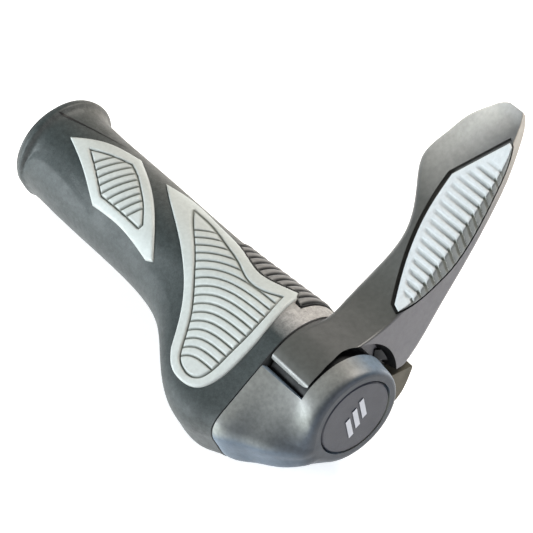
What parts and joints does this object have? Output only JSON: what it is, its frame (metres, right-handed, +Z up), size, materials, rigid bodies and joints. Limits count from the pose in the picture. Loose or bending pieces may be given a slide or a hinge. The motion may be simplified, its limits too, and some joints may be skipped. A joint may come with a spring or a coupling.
{
  "type": "bar end grip",
  "caption": "Ergonomic handlebar grip with a palm wing, ribbed inserts and an adjustable clamped bar end horn with a ribbed pad.",
  "frame": {"origin": "centre of the bore's inboard mouth", "axes": "+X along the bar, outboard; +Y forward; +Z up; right-hand grip"},
  "size_m": [0.1462, 0.112, 0.086],
  "materials": {
    "soft_rubber": "matt moulded rubber, fine grain",
    "light_elastomer": "satin thermoplastic elastomer, ribbed",
    "dark_elastomer": "satin thermoplastic elastomer, ribbed",
    "nylon": "natural nylon, matt",
    "housing_plastic": "fine textured moulded plastic, satin",
    "horn_skin": "fine textured moulded skin, satin",
    "horn_composite": "glass filled nylon, satin",
    "cap_plastic": "satin moulded plastic",
    "badge_metal": null,
    "steel": "zinc plated steel"
  },
  "bodies": {
    "grip": {"core_sleeve": "nylon", "wing_plate": "nylon", "housing_screws": "steel", "palm_insert": "light_elastomer", "thumb_insert": "light_elastomer", "finger_insert": "dark_elastomer", "rubber_grip": "soft_rubber", "end_housing": "housing_plastic"},
    "end_cap": {"end_plug": "cap_plastic", "badge_inlay": "badge_metal"},
    "horn": {"horn_core": "horn_composite", "horn_cover": "horn_skin", "horn_pad": "light_elastomer", "clamp_nut": "steel"},
    "washer": {"bolt_washer": "steel"},
    "bolt": {"clamp_bolt": "steel"}
  },
  "joints": [
    {"name": "horn_tilt", "type": "hinge", "parent": "grip", "child": "horn", "pos_m": [0.1302, 0, 0], "axis": [1, 0, 0], "range_deg": [-18, 6]},
    {"name": "cap_pull", "type": "slide", "parent": "grip", "child": "end_cap", "axis": [1, 0, 0], "range_m": [0, 0.012]},
    {"name": "bolt_turn", "type": "hinge", "parent": "washer", "child": "bolt", "pos_m": [0.1302, 0.02038, -0.01132], "axis": [0, -0.11, -0.9939], "range_deg": [0, 1080]},
    {"name": "bolt_back", "type": "slide", "parent": "horn", "child": "washer", "axis": [0, -0.11, -0.9939], "range_m": [0, 0.0024]}
  ],
  "couplings": [
    {"joint": "bolt_turn", "follows": "bolt_back", "rad_per_m": 7854}
  ]
}
